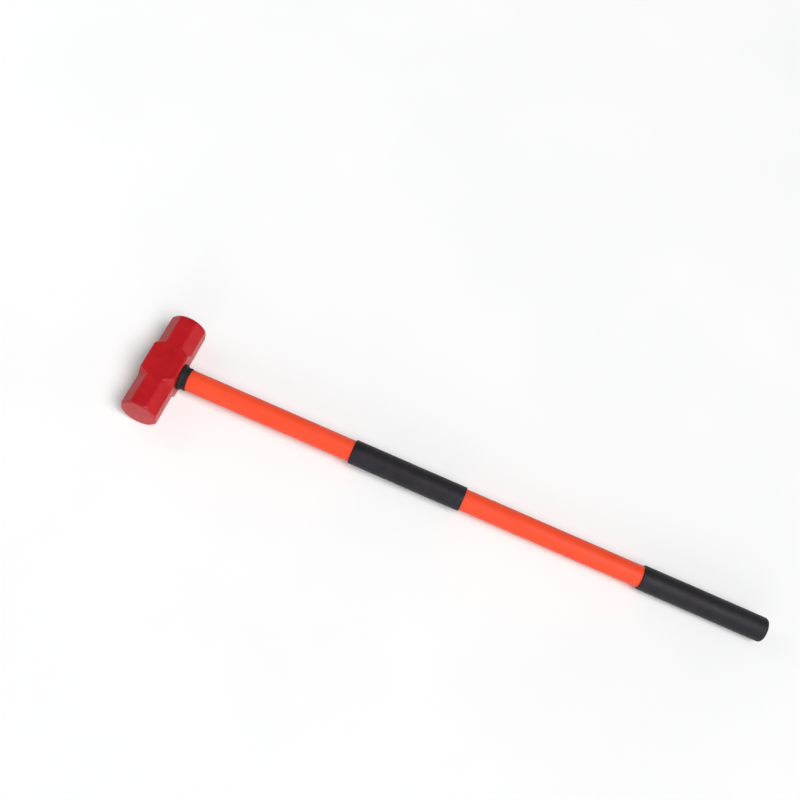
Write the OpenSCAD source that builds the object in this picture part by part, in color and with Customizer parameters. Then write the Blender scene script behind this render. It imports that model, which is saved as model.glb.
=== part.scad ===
// Sledge hammer with a double-faced octagonal head and a jacketed fibreglass handle.
// Frame: +X runs along the handle from the head to the butt, Y is the striking axis, +Z is up.
// Origin: centre of the head's lower cheek, the flat side that it lies on.

/* [Head] */
// Width of the square stock, across the cheeks and across the crown
head_w = 50; // [46:0.5:60]
// Length from one striking face to the other
head_len = 152; // [140:1:180]
// Leg of the corner bevels that turn each arm into an octagon
corner_leg = 13.8; // [11:0.1:14]
// Length of the square block left in the middle, around the eye
block_len = 38.8; // [38:0.2:60]
// Radius of the block's four long corners
block_round_r = 3; // [1:0.5:4]
// Length of the sloped run-out from a block corner to the full bevel
runout_len = 8.2; // [5:0.1:14]
// Radius that breaks the rim of each striking face
face_rim_r = 4.5; // [3:0.5:8]

/* [Eye] */
// Radius of the eye at the neck, where the handle goes in
eye_neck_r = 14; // [13.5:0.1:15]
// Radius of the eye at its waist
eye_waist_r = 13; // [12:0.1:13.4]
// Radius of the eye at the crown, flared so that the resin plug can't pull through
eye_crown_r = 15.5; // [14:0.1:17]
// Distance of the waist from the middle of the head, towards the neck
eye_waist_x = 8; // [4:0.5:14]
// Thickness of the ring that keeps the resin in while it is poured
dam_thk = 4; // [3:0.5:6]
// Depth of the resin below the crown
resin_recess = 0.6; // [0.2:0.1:2]

/* [Handle] */
// Overall length of the tool, crown to butt
tool_len = 900; // [850:1:950]
// Radius of the pultruded fibreglass rod
core_r = 11; // [9:0.1:11.5]
// Outside radius of the moulded jacket
jacket_r = 15.1; // [14:0.1:16]
// Thickness of the jacket's closed end
jacket_end_thk = 5; // [3:0.5:10]

/* [Neck collar] */
// Length of the collar along the handle
collar_len = 11.7; // [8:0.1:20]
// Radius of the collar's flange, against the head
collar_flange_r = 18; // [17:0.1:20]
// Thickness of that flange
collar_flange_thk = 3; // [2:0.1:5]
// Length of the cone from the flange down to the barrel
collar_cone_len = 2.6; // [1:0.1:4]
// Radius of the collar's barrel, next to the jacket
collar_barrel_r = 15.9; // [15.2:0.1:16.9]

/* [Grips] */
// Outside radius of both rubber grips
grip_r = 17.1; // [16.5:0.1:20]
// Start of the middle grip, from the middle of the head
mid_grip_start = 276.5; // [200:0.5:320]
// Length of the middle grip
mid_grip_len = 161.3; // [120:0.1:220]
// Length of the end grip
end_grip_len = 179; // [130:0.5:240]
// Thickness of the end grip's closed end
butt_thk = 7; // [5:0.5:12]
// Radius that rounds the butt
butt_round_r = 5.5; // [3:0.1:8]
// Radius that breaks the grips' open rims
grip_rim_r = 1; // [0.5:0.1:1.5]

/* [Hidden] */
$fn = 96;
// Gap left between pieces that sit one inside the other
seat_gap = 0.05;
half_w = head_w / 2;
half_len = head_len / 2;
half_block = block_len / 2;
axis_z = half_w;
// Distance from the head's axis to the edges of the octagon, where two sides meet
octagon_r = sqrt(pow(half_w, 2) + pow(half_w - corner_leg, 2));
// Distance from the head's axis to a square corner and to the flat of a corner bevel
corner_u = half_w * sqrt(2);
bevel_u = (head_w - corner_leg) / sqrt(2);
neck_x = half_w;
crown_x = -half_w;
butt_x = crown_x + tool_len;
collar_end_x = neck_x + collar_len;
dam_x = neck_x - dam_thk;
mid_grip_end = mid_grip_start + mid_grip_len;
end_grip_start = butt_x - end_grip_len;
jacket_end_x = butt_x - butt_thk;
core_end_x = jacket_end_x - jacket_end_thk;
jacket_in_r = core_r + seat_gap;
grip_in_r = jacket_r + seat_gap;
// How far cutting tools reach past what they cut
over = 10;
// Length of the prism that cuts a corner, longer than the bevel is wide
cut_span = 2 * head_w;

// Turns an outline about the handle's axis. In the outline, x is the radius and y runs along the handle.
module turned() {
    translate([0, 0, axis_z]) rotate([0, 90, 0]) rotate_extrude() children();
}

// Outline of a round bar, from its axis outwards, with the corners at its two ends rounded.
module bar_outline(start, end, out_r, start_round, end_round) {
    translate([0, start + start_round])
        square([out_r, end - start - start_round - end_round]);
    translate([0, start]) square([out_r - start_round, start_round]);
    translate([0, end - end_round]) square([out_r - end_round, end_round]);
    translate([out_r - start_round, start + start_round]) circle(start_round);
    translate([out_r - end_round, end - end_round]) circle(end_round);
}

// Wall of the eye, as an outline from the axis outwards, shrunk by a gap.
module eye_outline(gap, start, end) {
    intersection() {
        polygon([
            [0, crown_x - over],
            [eye_crown_r - gap, crown_x - over],
            [eye_crown_r - gap, crown_x],
            [eye_waist_r - gap, eye_waist_x],
            [eye_neck_r - gap, neck_x],
            [eye_neck_r - gap, neck_x + over],
            [0, neck_x + over]
        ]);
        translate([0, start]) square([eye_crown_r + over, end - start]);
    }
}

// One corner of one arm: the sloped run-out and the full bevel behind it, as a single prism.
module corner_cut() {
    rotate([0, -45, 0])
        linear_extrude(height = cut_span, center = true)
            polygon([
                [corner_u, half_block],
                [bevel_u, half_block + runout_len],
                [bevel_u, half_len + over],
                [corner_u + over, half_len + over],
                [corner_u + over, half_block]
            ]);
}

// Section of the stock: a square with round corners.
module stock_section() {
    flat = head_w - 2 * block_round_r;
    square([flat, head_w], center = true);
    square([head_w, flat], center = true);
    for (x = [-flat / 2, flat / 2], y = [-flat / 2, flat / 2])
        translate([x, y]) circle(block_round_r);
}

// Square bar with the four corners of both arms cut away, so that only the middle stays square.
module octagonal_bar() {
    difference() {
        rotate([90, 0, 0])
            linear_extrude(height = head_len, center = true) stock_section();
        for (arm = [0, 1])
            mirror([0, arm, 0])
                for (corner = [0:3])
                    rotate([0, 90 * corner, 0]) corner_cut();
    }
}

// What the rounding of the striking faces takes off both ends of the bar.
module face_rims() {
    for (end = [-1, 1])
        difference() {
            translate([0, end * half_len, 0])
                cube([2 * head_w, 2 * face_rim_r, 2 * head_w], center = true);
            rotate([90, 0, 0])
                rotate_extrude()
                    bar_outline(-half_len, half_len, octagon_r, face_rim_r, face_rim_r);
        }
}

module head() {
    color([0.70, 0.12, 0.16])
        difference() {
            translate([0, 0, axis_z])
                difference() {
                    octagonal_bar();
                    face_rims();
                }
            turned() eye_outline(0, crown_x - over, neck_x + over);
        }
}

module handle_core() {
    color([0.86, 0.82, 0.66])
        turned()
            translate([0, crown_x + resin_recess / 2])
                square([core_r, core_end_x - crown_x - resin_recess / 2]);
}

// Filling of the eye between two stations, around the rod.
module eye_filling(start, end) {
    difference() {
        eye_outline(seat_gap, start, end);
        translate([0, start - over]) square([core_r + seat_gap, end - start + 2 * over]);
    }
}

module eye_resin() {
    color([0.62, 0.50, 0.30])
        turned() eye_filling(crown_x + resin_recess, dam_x);
}

module dam_ring() {
    color([0.20, 0.20, 0.20])
        turned() eye_filling(dam_x, neck_x);
}

module neck_collar() {
    color([0.15, 0.16, 0.15])
        turned()
            polygon([
                [jacket_in_r, neck_x],
                [collar_flange_r, neck_x],
                [collar_flange_r, neck_x + collar_flange_thk],
                [collar_barrel_r, neck_x + collar_flange_thk + collar_cone_len],
                [collar_barrel_r, collar_end_x],
                [jacket_in_r, collar_end_x]
            ]);
}

module shaft_jacket() {
    color([0.98, 0.35, 0.24])
        turned()
            difference() {
                translate([0, collar_end_x]) square([jacket_r, jacket_end_x - collar_end_x]);
                translate([0, collar_end_x - over]) square([jacket_in_r, core_end_x - collar_end_x + over]);
            }
}

module mid_grip() {
    color([0.18, 0.17, 0.20])
        turned()
            difference() {
                bar_outline(mid_grip_start, mid_grip_end, grip_r, grip_rim_r, grip_rim_r);
                translate([0, mid_grip_start - over]) square([grip_in_r, mid_grip_len + 2 * over]);
            }
}

module end_grip() {
    color([0.18, 0.17, 0.20])
        turned()
            difference() {
                bar_outline(end_grip_start, butt_x, grip_r, grip_rim_r, butt_round_r);
                translate([0, end_grip_start - over])
                    square([grip_in_r, jacket_end_x - end_grip_start + over]);
            }
}

head();
handle_core();
eye_resin();
dam_ring();
neck_collar();
shaft_jacket();
mid_grip();
end_grip();
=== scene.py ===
"""Looks of a long-handled sledge hammer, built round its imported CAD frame. Everything is in metres."""
import math

import bmesh
import bpy
from mathutils import Matrix, Vector, noise


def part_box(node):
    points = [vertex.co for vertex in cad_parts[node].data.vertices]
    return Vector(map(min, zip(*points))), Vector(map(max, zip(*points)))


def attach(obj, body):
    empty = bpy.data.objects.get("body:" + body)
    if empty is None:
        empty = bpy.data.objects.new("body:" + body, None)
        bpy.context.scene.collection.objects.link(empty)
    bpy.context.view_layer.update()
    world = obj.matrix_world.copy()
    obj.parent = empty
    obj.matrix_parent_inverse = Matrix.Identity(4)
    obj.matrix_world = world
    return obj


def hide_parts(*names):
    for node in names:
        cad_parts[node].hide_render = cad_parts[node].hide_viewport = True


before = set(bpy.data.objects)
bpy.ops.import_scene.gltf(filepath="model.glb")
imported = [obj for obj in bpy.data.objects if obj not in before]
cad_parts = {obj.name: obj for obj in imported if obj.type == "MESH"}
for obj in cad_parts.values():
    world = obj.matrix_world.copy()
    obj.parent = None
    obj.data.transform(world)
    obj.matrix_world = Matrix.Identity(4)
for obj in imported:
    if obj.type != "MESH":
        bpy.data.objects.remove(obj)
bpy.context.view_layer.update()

MM = 0.001
MERGE = 0.005 * MM

# ---------------------------------------------------------------- sizes

# The head: leg of the corner bevels, half the square block, length of the run-outs, radius of the face rims.
CORNER_LEG = 13.8 * MM
HALF_BLOCK = 19.4 * MM
RUNOUT = 8.2 * MM
FACE_RIM = 4.5 * MM
# Radius of the block's long corners and of the octagon's edges, and softness of the run-out's two bends.
BLOCK_ROUND = 3.0 * MM
ARM_ROUND = 4.2 * MM
BEND_BLEND = 0.9 * MM
# Slope of the crowned striking face where it meets its rim.
CROWN_SLOPE = math.radians(3)
# Depth of the long forging waves and of the small hollows, always inwards.
WAVE_DEPTH = 0.26 * MM
PIT_DEPTH = 0.08 * MM
WAVE_SIZE = 15 * MM
PIT_SIZE = 5 * MM
# How finely the head's skin is divided: along a flat, a bevel and a rounded corner, and between rings.
FLAT_STEPS = 18
BEVEL_STEPS = 8
CORNER_STEPS = 4
RING_STEP = 2 * MM
BEND_STEP = 0.6 * MM
# The eye at the crown and at the neck, its waist, and the bevel round its mouth.
EYE_CROWN_R = 15.5 * MM
EYE_WAIST_R = 13.0 * MM
EYE_NECK_R = 14.0 * MM
EYE_WAIST_X = 8.0 * MM
EYE_BEVEL = 1.1 * MM

# Turned pieces: points round a ring, the gap that the CAD leaves round the rod, how far inside its
# neighbour's radius a skin ends, and the height and angular spread of a mould seam.
ROUND_STEPS = 96
SEAT_GAP = 0.05 * MM
TUCK = 0.1 * MM
SEAM_HEIGHT = 0.12 * MM
SEAM_SPREAD = math.radians(1.1)

# The collar: its barrel radius, the thickness of its flange and the cone between them.
BARREL_R = 15.9 * MM
FLANGE_THICK = 3.0 * MM
CONE_LEN = 2.6 * MM

# The grips: rounding of the open rims and of the butt, and the moulding dimple in the butt.
GRIP_RIM = 1.0 * MM
BUTT_ROUND = 5.5 * MM
DIMPLE_R = 3.2 * MM
DIMPLE_DEPTH = 0.5 * MM
DIMPLE_LIP = 0.1 * MM

# Longest step between rings along the jacket, along a grip and along the end grip's bore.
JACKET_STEP = 6 * MM
GRIP_STEP = 4 * MM
BORE_STEP = 12 * MM

# Edges sharper than this stay crisp in the shading, on turned pieces and on the head.
TURNED_CREASE = math.radians(40)
HEAD_CREASE = math.radians(35)

# ---------------------------------------------------------------- places, from the frame


def corners(node):
    """Lowest and highest corner of a CAD node, as vectors."""
    low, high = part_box(node)
    return Vector(low), Vector(high)


HEAD_LOW, HEAD_HIGH = corners("head")
HALF_W = (HEAD_HIGH.x - HEAD_LOW.x) / 2
HALF_LEN = (HEAD_HIGH.y - HEAD_LOW.y) / 2
AXIS_Z = (HEAD_LOW.z + HEAD_HIGH.z) / 2
OCTAGON_R = math.hypot(HALF_W, HALF_W - CORNER_LEG)


def radius_of(node):
    """Outer radius of a CAD node that is turned about the handle's axis."""
    low, high = corners(node)
    return (high.z - low.z) / 2


ROD_BORE = radius_of("handle_core") + SEAT_GAP


# ---------------------------------------------------------------- mesh helpers


def finish_mesh(name, bm, sharp_angle):
    """Turns a bmesh into an object: normals outwards, smooth except at edges sharper than sharp_angle."""
    bmesh.ops.recalc_face_normals(bm, faces=bm.faces)
    for face in bm.faces:
        face.smooth = True
    for edge in bm.edges:
        if len(edge.link_faces) == 2:
            edge.smooth = edge.calc_face_angle() < sharp_angle
    mesh = bpy.data.meshes.new(name)
    bm.to_mesh(mesh)
    bm.free()
    obj = bpy.data.objects.new(name, mesh)
    bpy.context.scene.collection.objects.link(obj)
    return obj


def bridge(bm, ring_a, ring_b):
    """Faces between two closed rings of the same length."""
    count = len(ring_a)
    for i in range(count):
        j = (i + 1) % count
        bm.faces.new((ring_a[i], ring_a[j], ring_b[j], ring_b[i]))


def cap(bm, ring, centre):
    """Closes a ring with triangles round a centre point."""
    tip = bm.verts.new(centre)
    for i, vert in enumerate(ring):
        bm.faces.new((ring[(i + 1) % len(ring)], vert, tip))


def arc(centre_x, centre_r, radius, start, end, steps):
    """Points (x, r) on an arc of a profile. Angle 0 points away from the axis and 90 along +X."""
    points = []
    for i in range(steps + 1):
        angle = math.radians(start + (end - start) * i / steps)
        points.append((centre_x + radius * math.sin(angle), centre_r + radius * math.cos(angle)))
    return points


def stations(start, end, step):
    """Evenly spaced stations from start to end, no further apart than step."""
    count = max(1, math.ceil((end - start) / step))
    return [start + (end - start) * i / count for i in range(count + 1)]


def turned(name, profile, angles, closed=False, radial=None):
    """Turns a profile of (x, r) points about the handle's axis. radial adds to r at (x, angle).

    An open profile that starts or ends on the axis is capped there; a closed one is a ring."""
    bm = bmesh.new()
    rings = []
    tips = {}
    for index, (x, r) in enumerate(profile):
        if r < MERGE:
            tips[index] = (x, 0, AXIS_Z)
            continue
        ring = []
        for angle in angles:
            out = r + (radial(x, angle) if radial else 0)
            ring.append(bm.verts.new((x, out * math.sin(angle), AXIS_Z + out * math.cos(angle))))
        rings.append(ring)
    for ring_a, ring_b in zip(rings, rings[1:]):
        bridge(bm, ring_a, ring_b)
    if closed:
        bridge(bm, rings[-1], rings[0])
    if 0 in tips:
        cap(bm, rings[0], tips[0])
    if len(profile) - 1 in tips:
        cap(bm, rings[-1], tips[len(profile) - 1])
    return finish_mesh(name, bm, TURNED_CREASE)


def round_angles():
    """Equal angles round the handle."""
    return [2 * math.pi * i / ROUND_STEPS for i in range(ROUND_STEPS)]


# ---------------------------------------------------------------- the head


def clamp(value):
    """The value, held between 0 and 1."""
    return min(max(value, 0.0), 1.0)


def bevel_share(y):
    """How far the corner bevel has run out at station y: 0 on the block, 1 on the arm, with soft bends."""
    samples = 9
    total = 0.0
    for k in range(samples):
        shift = BEND_BLEND * (2 * k / (samples - 1) - 1)
        total += clamp((abs(y) + shift - HALF_BLOCK) / RUNOUT)
    return total / samples


def octagon_section(share):
    """Points (x, z) round an octagon, its eight corners rounded. A share of zero gives a rounded square."""
    edge_r = BLOCK_ROUND + (ARM_ROUND - BLOCK_ROUND) * share
    reach = edge_r * math.tan(math.radians(22.5))
    leg = max(CORNER_LEG * share, reach * math.sqrt(2))
    flat = HALF_W - leg
    points = []
    for quarter in range(4):
        turn = Matrix.Rotation(math.pi / 2 * quarter, 2)
        side = [Vector((HALF_W, s)) for s in spread(-flat + reach, flat - reach, FLAT_STEPS)]
        first = Vector((HALF_W - edge_r, flat - reach))
        side += around(first, edge_r, 0, 45)
        slope_start = side[-1]
        second = Vector((first.y, first.x))
        slope_end = second + edge_r * Vector((1, 1)).normalized()
        side += [slope_start.lerp(slope_end, i / BEVEL_STEPS) for i in range(1, BEVEL_STEPS + 1)]
        side += around(second, edge_r, 45, 90)
        points += [turn @ point for point in side[:-1]]
    return points


def spread(start, end, steps):
    """Evenly spaced values from start to end, both included."""
    return [start + (end - start) * i / steps for i in range(steps + 1)]


def around(centre, radius, start, end):
    """Points after the first one on an arc about centre, from start to end in degrees."""
    points = []
    for i in range(1, CORNER_STEPS + 1):
        angle = math.radians(start + (end - start) * i / CORNER_STEPS)
        points.append(centre + radius * Vector((math.cos(angle), math.sin(angle))))
    return points


def soft_min(a, b, width):
    """The smaller of a and b, with the switch between them rounded."""
    if width <= 0:
        return min(a, b)
    share = clamp(0.5 + 0.5 * (b - a) / width)
    return b + (a - b) * share - width * share * (1 - share)


def head_stations():
    """Pairs (y, rim radius) from the middle of the head to the edge of one striking face."""
    edge_angle = math.pi / 2 - CROWN_SLOPE
    edge_r = OCTAGON_R - FACE_RIM + FACE_RIM * math.cos(edge_angle)
    crown = edge_r * math.tan(CROWN_SLOPE) / 2
    rim_start = HALF_LEN - crown - FACE_RIM * math.sin(edge_angle)
    run_in = HALF_BLOCK - 2 * BEND_BLEND
    run_out = HALF_BLOCK + RUNOUT + 2 * BEND_BLEND
    ys = stations(0, run_in, RING_STEP)
    ys += stations(run_in, run_out, BEND_STEP)[1:]
    ys += stations(run_out, rim_start, RING_STEP)[1:]
    pairs = [(y, OCTAGON_R) for y in ys]
    rim_rings = 12
    for i in range(1, rim_rings + 1):
        angle = edge_angle * i / rim_rings
        rim_r = OCTAGON_R - FACE_RIM + FACE_RIM * math.cos(angle)
        pairs.append((rim_start + FACE_RIM * math.sin(angle), rim_r))
    cap_rings = 8
    for i in range(1, cap_rings):
        r = edge_r * (1 - i / cap_rings)
        pairs.append((HALF_LEN - crown * (r / edge_r) ** 2, r))
    return pairs


def head_ring(bm, y, rim_r):
    """One ring of the head's skin at station y, trimmed to the rim radius with a soft blend."""
    full_blend = 0.04
    blend = full_blend * clamp(4 * (OCTAGON_R - rim_r) / FACE_RIM)
    ring = []
    for point in octagon_section(bevel_share(y)):
        scale = 1.0
        if rim_r < OCTAGON_R:
            scale = soft_min(1.0, rim_r / point.length, blend)
        ring.append(bm.verts.new((point.x * scale, y, AXIS_Z + point.y * scale)))
    return ring


def dent(bm):
    """Long forging waves and small hollows, pushed inwards along the normals."""
    bm.normal_update()
    pit_shift = Vector((7.3, 1.9, 4.1))
    moves = []
    for vert in bm.verts:
        wave = 0.5 + 0.5 * noise.noise(vert.co / WAVE_SIZE)
        pit = 0.5 + 0.5 * noise.noise(vert.co / PIT_SIZE + pit_shift)
        moves.append(vert.normal * (WAVE_DEPTH * wave + PIT_DEPTH * pit))
    for vert, move in zip(bm.verts, moves):
        vert.co -= move


def eye_cutter():
    """The eye's hole as a solid: bevelled mouth at the crown, waist, and a mouth at the neck."""
    past = 4 * MM
    crown_x = HEAD_LOW.x
    profile = [
        (crown_x - past, 0),
        (crown_x - past, EYE_CROWN_R + EYE_BEVEL + past),
        (crown_x + EYE_BEVEL, EYE_CROWN_R),
        (EYE_WAIST_X, EYE_WAIST_R),
        (HEAD_HIGH.x, EYE_NECK_R),
        (HEAD_HIGH.x + past, EYE_NECK_R),
        (HEAD_HIGH.x + past, 0),
    ]
    return turned("eye_cutter", profile, round_angles())


def clear_slivers(bm):
    """Removes the doubled points and the faces without area that a boolean leaves."""
    bmesh.ops.remove_doubles(bm, verts=bm.verts, dist=MERGE)
    bmesh.ops.triangulate(bm, faces=[face for face in bm.faces if len(face.verts) > 4])
    bmesh.ops.dissolve_degenerate(bm, edges=bm.edges, dist=MERGE)


def cut(obj, cutter, sharp_angle):
    """Subtracts cutter from obj for good, removes the cutter and sets the shading again."""
    modifier = obj.modifiers.new("cut", "BOOLEAN")
    modifier.operation = "DIFFERENCE"
    modifier.solver = "EXACT"
    modifier.object = cutter
    graph = bpy.context.evaluated_depsgraph_get()
    mesh = bpy.data.meshes.new_from_object(obj.evaluated_get(graph))
    name = obj.name
    bm = bmesh.new()
    bm.from_mesh(mesh)
    clear_slivers(bm)
    for old in (obj, cutter):
        bpy.data.objects.remove(old)
    return finish_mesh(name, bm, sharp_angle)


def build_head():
    """The forged head: one skin of rings along the striking axis, dented, with the eye cut through it."""
    bm = bmesh.new()
    half = head_stations()
    both = [(-y, r) for y, r in reversed(half[1:])] + half
    rings = [head_ring(bm, y, r) for y, r in both]
    for ring_a, ring_b in zip(rings, rings[1:]):
        bridge(bm, ring_a, ring_b)
    cap(bm, rings[0], (0, -HALF_LEN, AXIS_Z))
    cap(bm, rings[-1], (0, HALF_LEN, AXIS_Z))
    bmesh.ops.remove_doubles(bm, verts=bm.verts, dist=MERGE)
    bmesh.ops.recalc_face_normals(bm, faces=bm.faces)
    dent(bm)
    skin = finish_mesh("forged_head", bm, HEAD_CREASE)
    return cut(skin, eye_cutter(), HEAD_CREASE)


# ---------------------------------------------------------------- the handle


def build_resin():
    """The resin in the eye, with a skin that climbs the rod and the eye's wall."""
    low, high = corners("eye_resin")
    sag = 0.7 * MM
    shrink = 0.3 * MM
    profile = []
    steps = 14
    outer_r = EYE_CROWN_R - TUCK
    for share in spread(0, 1, steps):
        climb = (2 * share - 1) ** 4
        profile.append((low.x + sag * (1 - climb), ROD_BORE + (outer_r - ROD_BORE) * share))
    profile.append((EYE_WAIST_X, EYE_WAIST_R - TUCK))
    profile.append((high.x, EYE_NECK_R - shrink))
    profile.append((high.x, ROD_BORE))
    return turned("poured_resin", profile, round_angles(), closed=True)


def build_collar():
    """The rubber collar between the head and the jacket: flange, cone and barrel, all with soft edges."""
    low, high = corners("neck_collar")
    flange_r = radius_of("neck_collar")
    soft = 0.6 * MM
    cone_end = low.x + FLANGE_THICK + CONE_LEN
    profile = [(low.x, ROD_BORE)]
    profile += arc(low.x + soft, flange_r - soft, soft, -90, 0, 5)
    profile += arc(low.x + FLANGE_THICK - soft, flange_r - soft, soft, 0, 50, 4)
    # The cone runs out into the barrel over short facets.
    profile += [(cone_end - 0.5 * MM, BARREL_R + 0.25 * MM), (cone_end, BARREL_R + 0.05 * MM)]
    profile += [(cone_end + soft, BARREL_R)]
    profile += arc(high.x - soft, BARREL_R - soft, soft, 0, 90, 5)
    profile += [(high.x, ROD_BORE)]
    return turned("neck_collar_skin", profile, round_angles(), closed=True)


def seam_angles():
    """Angles round the jacket, closer together at the two mould seams on the striking axis."""
    angles = set(round_angles())
    for seam in (math.pi / 2, 3 * math.pi / 2):
        for offset in (0.7, 1.3, 2.0, 2.8):
            angles.add(seam + math.radians(offset))
            angles.add(seam - math.radians(offset))
    return sorted(angles)


def unevenness(x, angle, length, turns):
    """Smooth noise over a handle's surface: length is its size along the handle, turns its rate round it."""
    return noise.noise(Vector((x / length, turns * math.sin(angle), turns * math.cos(angle))))


def jacket_relief(x, angle):
    """Fine flash line along each mould seam, and a slow unevenness about a slightly sunk radius."""
    inset = 0.09 * MM
    wave = 0.05 * MM
    off = abs(angle % math.pi - math.pi / 2)
    line = math.exp(-((off / SEAM_SPREAD) ** 2))
    return SEAM_HEIGHT * line + wave * unevenness(x, angle, 45 * MM, 1.6) - inset


def build_jacket():
    """The moulded plastic jacket, a tube over the rod, closed at the butt."""
    low, high = corners("shaft_jacket")
    out_r = radius_of("shaft_jacket")
    rod_end = corners("handle_core")[1].x
    soft = 0.5 * MM
    profile = [(rod_end, 0), (rod_end, ROD_BORE), (low.x, ROD_BORE)]
    profile += arc(low.x + soft, out_r - soft, soft, -90, 0, 4)
    profile += [(x, out_r) for x in stations(low.x + soft, high.x - soft, JACKET_STEP)[1:]]
    profile += arc(high.x - soft, out_r - soft, soft, 0, 90, 4)[1:]
    profile += [(high.x, 0)]
    return turned("moulded_jacket", profile, seam_angles(), radial=jacket_relief)


def grip_relief(x, angle):
    """Slow unevenness of the soft grips, about a slightly sunk radius."""
    wave = 0.10 * MM
    inset = 0.09 * MM
    return wave * unevenness(x, angle, 28 * MM, 1.3) - inset


def build_mid_grip():
    """The middle grip: an open sleeve with soft rims."""
    low, high = corners("mid_grip")
    out_r = radius_of("mid_grip")
    in_r = radius_of("shaft_jacket") - TUCK
    profile = [(low.x, in_r)]
    profile += arc(low.x + GRIP_RIM, out_r - GRIP_RIM, GRIP_RIM, -90, 0, 6)
    profile += [(x, out_r) for x in stations(low.x + GRIP_RIM, high.x - GRIP_RIM, GRIP_STEP)[1:]]
    profile += arc(high.x - GRIP_RIM, out_r - GRIP_RIM, GRIP_RIM, 0, 90, 6)[1:]
    profile += [(high.x, in_r)]
    return turned("middle_grip", profile, round_angles(), closed=True, radial=grip_relief)


def build_end_grip():
    """The end grip: a sleeve with a soft rim and a closed, rounded butt with a moulding dimple."""
    low, high = corners("end_grip")
    out_r = radius_of("end_grip")
    in_r = radius_of("shaft_jacket") - TUCK
    floor_x = corners("shaft_jacket")[1].x
    profile = [(floor_x, 0), (floor_x, in_r)]
    profile += [(x, in_r) for x in reversed(stations(low.x, floor_x, BORE_STEP)[:-1])]
    profile += arc(low.x + GRIP_RIM, out_r - GRIP_RIM, GRIP_RIM, -90, 0, 6)
    profile += [(x, out_r) for x in stations(low.x + GRIP_RIM, high.x - BUTT_ROUND, GRIP_STEP)[1:]]
    profile += arc(high.x - BUTT_ROUND, out_r - BUTT_ROUND, BUTT_ROUND, 0, 90, 14)[1:]
    soft = 0.4 * MM
    dimple_x = high.x - DIMPLE_DEPTH
    profile += [(high.x, 6 * MM), (high.x, DIMPLE_R + soft), (high.x - DIMPLE_LIP, DIMPLE_R)]
    profile += [(dimple_x, DIMPLE_R - 1.5 * soft), (dimple_x, 0)]
    return turned("end_grip_sleeve", profile, round_angles(), radial=grip_relief)


# ---------------------------------------------------------------- materials


def set_range(node, from_low, from_high, low, high):
    """Sets a Map Range node's four limits."""
    limits = {"From Min": from_low, "From Max": from_high, "To Min": low, "To Max": high}
    for name, value in limits.items():
        node.inputs[name].default_value = value


class Paint:
    """A material under construction, with short ways to add nodes."""

    def __init__(self, name):
        self.material = bpy.data.materials.new(name)
        self.material.use_nodes = True
        self.tree = self.material.node_tree
        self.shader = self.tree.nodes["Principled BSDF"]
        self.space = self.tree.nodes.new("ShaderNodeTexCoord").outputs["Object"]

    def link(self, source, target):
        self.tree.links.new(source, target)

    def set(self, **values):
        """Sets constants on the shader's own sockets; underscores stand for spaces."""
        for name, value in values.items():
            self.shader.inputs[name.replace("_", " ")].default_value = value

    def stretched(self, scale):
        """Object coordinates, scaled along the three axes."""
        node = self.tree.nodes.new("ShaderNodeMapping")
        node.inputs["Scale"].default_value = scale
        self.link(self.space, node.inputs["Vector"])
        return node.outputs["Vector"]

    def noise(self, scale, detail=3.0, rough=0.5, space=None):
        """Cloudy noise; a larger scale makes it finer."""
        node = self.tree.nodes.new("ShaderNodeTexNoise")
        node.inputs["Scale"].default_value = scale
        node.inputs["Detail"].default_value = detail
        node.inputs["Roughness"].default_value = rough
        self.link(space or self.space, node.inputs["Vector"])
        return node.outputs["Fac"]

    def cells(self, scale, space=None):
        """Distance to the nearest point of a cell pattern."""
        node = self.tree.nodes.new("ShaderNodeTexVoronoi")
        node.inputs["Scale"].default_value = scale
        self.link(space or self.space, node.inputs["Vector"])
        return node.outputs["Distance"]

    def ramp(self, source, stops):
        """A colour ramp over source; stops are (place, colour)."""
        node = self.tree.nodes.new("ShaderNodeValToRGB")
        ramp = node.color_ramp
        while len(ramp.elements) < len(stops):
            ramp.elements.new(0.5)
        for element, (place, colour) in zip(ramp.elements, stops):
            element.position = place
            element.color = (*colour, 1)
        self.link(source, node.inputs["Fac"])
        return node.outputs["Color"]

    def remap(self, source, low, high, from_low=0.3, from_high=0.7):
        """Spreads the source's usual range over low to high."""
        node = self.tree.nodes.new("ShaderNodeMapRange")
        set_range(node, from_low, from_high, low, high)
        self.link(source, node.inputs["Value"])
        return node.outputs["Result"]

    def colour(self, socket):
        self.link(socket, self.shader.inputs["Base Color"])

    def roughness(self, socket):
        self.link(socket, self.shader.inputs["Roughness"])

    def bump(self, source, depth, under=None):
        """A bump of that depth in metres; returns the normal, so that bumps can be stacked."""
        node = self.tree.nodes.new("ShaderNodeBump")
        node.inputs["Strength"].default_value = 1.0
        node.inputs["Distance"].default_value = depth
        self.link(source, node.inputs["Height"])
        if under:
            self.link(under, node.inputs["Normal"])
        self.link(node.outputs["Normal"], self.shader.inputs["Normal"])
        return node.outputs["Normal"]


def red_enamel():
    """Thick enamel over a forging: slow colour drift, fine orange peel over a coarser unevenness."""
    paint = Paint("red_enamel")
    paint.set(Specular_IOR_Level=0.34)
    drift = paint.noise(38, 4, 0.55)
    shades = [(0.30, (0.37, 0.004, 0.008)), (0.55, (0.43, 0.007, 0.011)), (0.75, (0.48, 0.010, 0.015))]
    paint.colour(paint.ramp(drift, shades))
    paint.roughness(paint.remap(paint.noise(120, 4), 0.30, 0.42))
    peel = paint.bump(paint.noise(520, 2), 0.07 * MM)
    paint.bump(paint.noise(90, 3), 0.22 * MM, peel)
    return paint.material


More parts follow.
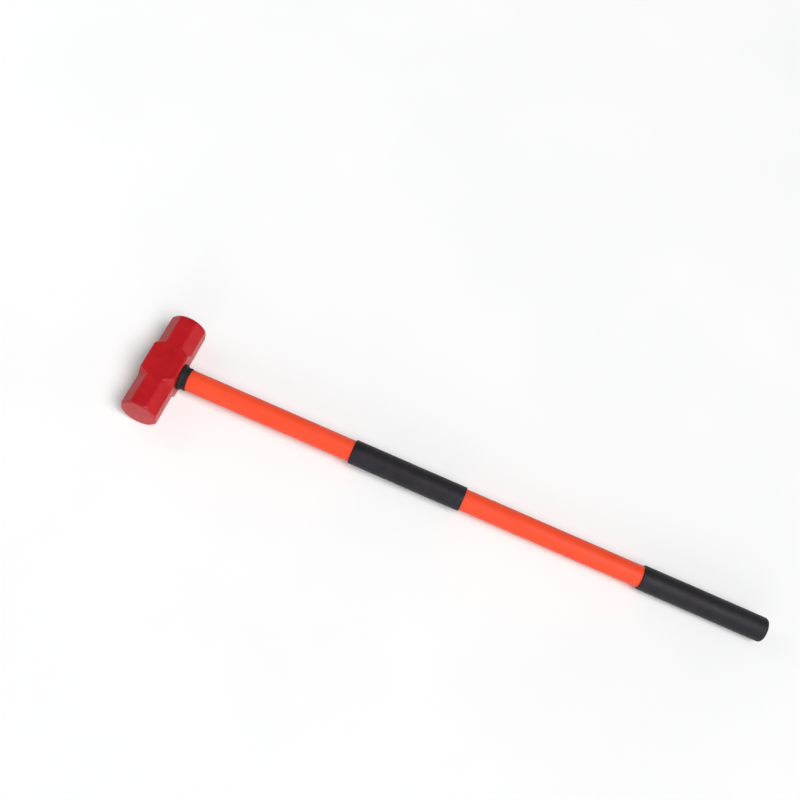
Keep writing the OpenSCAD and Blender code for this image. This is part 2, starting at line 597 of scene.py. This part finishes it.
def orange_plastic():
    """Satin moulded plastic: flow marks along the handle and a fine mould texture."""
    paint = Paint("orange_plastic")
    paint.set(Specular_IOR_Level=0.24)
    flow = paint.noise(1, 4, 0.55, paint.stretched((9, 70, 70)))
    paint.colour(paint.ramp(flow, [(0.3, (0.79, 0.060, 0.018)), (0.7, (0.85, 0.075, 0.025))]))
    paint.roughness(paint.remap(paint.noise(60, 5), 0.44, 0.56))
    fine = paint.bump(paint.noise(1400, 2), 0.03 * MM)
    paint.bump(flow, 0.12 * MM, fine)
    return paint.material


def black_rubber(name, dark, pale, rough):
    """Moulded rubber: a fine stipple, handling marks in the sheen and dust that lightens it."""
    paint = Paint(name)
    paint.set(Specular_IOR_Level=0.24)
    dust = paint.noise(55, 6, 0.62)
    paint.colour(paint.ramp(dust, [(0.32, dark), (0.72, pale)]))
    paint.roughness(paint.remap(paint.noise(34, 4), rough - 0.05, rough + 0.07))
    stipple = paint.bump(paint.cells(1500), 0.07 * MM)
    paint.bump(paint.noise(170, 4), 0.12 * MM, stipple)
    return paint.material


def cut_fibreglass():
    """The rod: pale fibres that run along it and show as fine dots on its cut end."""
    paint = Paint("cut_fibreglass")
    paint.set(Specular_IOR_Level=0.5)
    fibres = paint.cells(1, paint.stretched((20, 2100, 2100)))
    shades = [(0.0, (0.80, 0.74, 0.52)), (0.5, (0.58, 0.49, 0.28)), (0.9, (0.36, 0.27, 0.13))]
    paint.colour(paint.ramp(fibres, shades))
    paint.roughness(paint.remap(paint.noise(260, 3), 0.48, 0.66))
    paint.bump(fibres, 0.10 * MM)
    return paint.material


def amber_resin():
    """Poured epoxy: cloudy amber with fine bubbles."""
    paint = Paint("amber_resin")
    paint.set(Specular_IOR_Level=0.55, Coat_Weight=0.3, Coat_Roughness=0.1)
    cloud = paint.noise(150, 5, 0.6)
    paint.colour(paint.ramp(cloud, [(0.3, (0.20, 0.11, 0.035)), (0.7, (0.42, 0.27, 0.10))]))
    paint.roughness(paint.remap(cloud, 0.30, 0.42))
    bubbles = paint.remap(paint.cells(620), 0.0, 1.0, 0.05, 0.22)
    paint.bump(bubbles, 0.16 * MM)
    return paint.material


def pale_floor():
    """Plain pale studio floor with a trace of unevenness."""
    paint = Paint("pale_floor")
    paint.set(Specular_IOR_Level=0.2)
    paint.colour(paint.ramp(paint.noise(3, 3), [(0.3, (0.88, 0.88, 0.88)), (0.7, (0.91, 0.91, 0.905))]))
    paint.roughness(paint.remap(paint.noise(20, 2), 0.7, 0.8))
    return paint.material


def dress(obj, material):
    """Gives an object one material in every slot."""
    slots = obj.data.materials
    if not slots:
        slots.append(material)
    for index in range(len(slots)):
        slots[index] = material


# ---------------------------------------------------------------- the pieces on the frame


def add_piece(obj, node, material):
    """A finished piece stands for its CAD node, rides on the one body and has the node's finish."""
    dress(obj, material)
    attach(obj, "root")
    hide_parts(node)


def build_hammer():
    enamel = red_enamel()
    orange = orange_plastic()
    grip = black_rubber("grip_rubber", (0.0100, 0.0088, 0.0122), (0.0180, 0.0158, 0.0212), 0.52)
    collar = black_rubber("collar_rubber", (0.006, 0.007, 0.006), (0.012, 0.0135, 0.012), 0.62)
    add_piece(build_head(), "head", enamel)
    add_piece(build_resin(), "eye_resin", amber_resin())
    add_piece(build_collar(), "neck_collar", collar)
    add_piece(build_jacket(), "shaft_jacket", orange)
    add_piece(build_mid_grip(), "mid_grip", grip)
    add_piece(build_end_grip(), "end_grip", grip)
    dress(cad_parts["handle_core"], cut_fibreglass())
    dress(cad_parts["dam_ring"], collar)


# ---------------------------------------------------------------- stage, light and camera


def build_floor():
    """The floor leans by half a degree, so that it carries both the head's edge and the thinner butt."""
    grip_low, grip_high = corners("end_grip")
    rest_x = grip_high.x - BUTT_ROUND
    lean = math.atan2(grip_low.z - HEAD_LOW.z, rest_x - HEAD_HIGH.x)
    size = 30.0
    bpy.ops.mesh.primitive_plane_add(size=size, location=(HEAD_HIGH.x, 0, HEAD_LOW.z), rotation=(0, -lean, 0))
    floor = bpy.context.object
    floor.name = "floor"
    dress(floor, pale_floor())


# The middle of the handle, where every light is turned to.
LIGHT_AIM = Vector((0.42, 0, 0))


def place_light(light, place):
    """Puts a light at place, turned to LIGHT_AIM."""
    obj = bpy.data.objects.new(light.name, light)
    obj.location = place
    obj.rotation_euler = (LIGHT_AIM - Vector(place)).to_track_quat("-Z", "Y").to_euler()
    bpy.context.scene.collection.objects.link(obj)


def add_softbox(name, place, size, power):
    """A square soft light."""
    light = bpy.data.lights.new(name, "AREA")
    light.shape = "SQUARE"
    light.size = size
    light.energy = power
    place_light(light, place)


def add_overhead_panel(name, place, width, strength):
    """A very large, distant panel of that angular width, which lights the whole floor evenly."""
    light = bpy.data.lights.new(name, "SUN")
    light.angle = width
    light.energy = strength
    place_light(light, place)


# Strength of the surroundings at the horizon and overhead, and the heights, as sines, between which it fades.
HORIZON_GLOW = 0.78
ZENITH_GLOW = 0.10
FADE_START = 0.12
FADE_END = 0.6


def build_world():
    """Studio surroundings: pale at the horizon, dark overhead, so that level faces keep their full colour."""
    world = bpy.data.worlds.new("studio")
    world.use_nodes = True
    tree = world.node_tree
    direction = tree.nodes.new("ShaderNodeTexCoord").outputs["Generated"]
    parts = tree.nodes.new("ShaderNodeSeparateXYZ")
    fade = tree.nodes.new("ShaderNodeMapRange")
    fade.interpolation_type = "SMOOTHSTEP"
    set_range(fade, FADE_START, FADE_END, HORIZON_GLOW, ZENITH_GLOW)
    backdrop = tree.nodes["Background"]
    backdrop.inputs["Color"].default_value = (0.97, 0.98, 1.0, 1)
    tree.links.new(direction, parts.inputs["Vector"])
    tree.links.new(parts.outputs["Z"], fade.inputs["Value"])
    tree.links.new(fade.outputs["Result"], backdrop.inputs["Strength"])
    bpy.context.scene.world = world


def build_light():
    build_world()
    add_overhead_panel("key_panel", place=(2.30, -1.20, 3.35), width=math.radians(40), strength=3.08)
    add_softbox("front_box", place=(0.70, -3.30, 1.20), size=1.3, power=17)
    add_softbox("left_box", place=(-2.6, 0.6, 2.2), size=1.6, power=13)
    bpy.context.scene.view_settings.view_transform = "Standard"


# The camera's place, the point it looks at, its roll and its lens, for the photograph's viewing angle.
CAMERA_AT = Vector((0.34217, -0.68272, 1.37089))
CAMERA_AIM = Vector((0.30658, 0.10272, 0.025))
CAMERA_ROLL = math.radians(21.235)
CAMERA_LENS = 50.52


def build_camera():
    camera = bpy.data.objects.new("camera", bpy.data.cameras.new("camera"))
    camera.data.sensor_width = 36
    camera.data.lens = CAMERA_LENS
    look = (CAMERA_AIM - CAMERA_AT).to_track_quat("-Z", "Y")
    camera.rotation_euler = (look.to_matrix() @ Matrix.Rotation(CAMERA_ROLL, 3, "Z")).to_euler()
    camera.location = CAMERA_AT
    bpy.context.scene.collection.objects.link(camera)
    bpy.context.scene.camera = camera


build_camera()
build_hammer()
build_floor()
build_light()
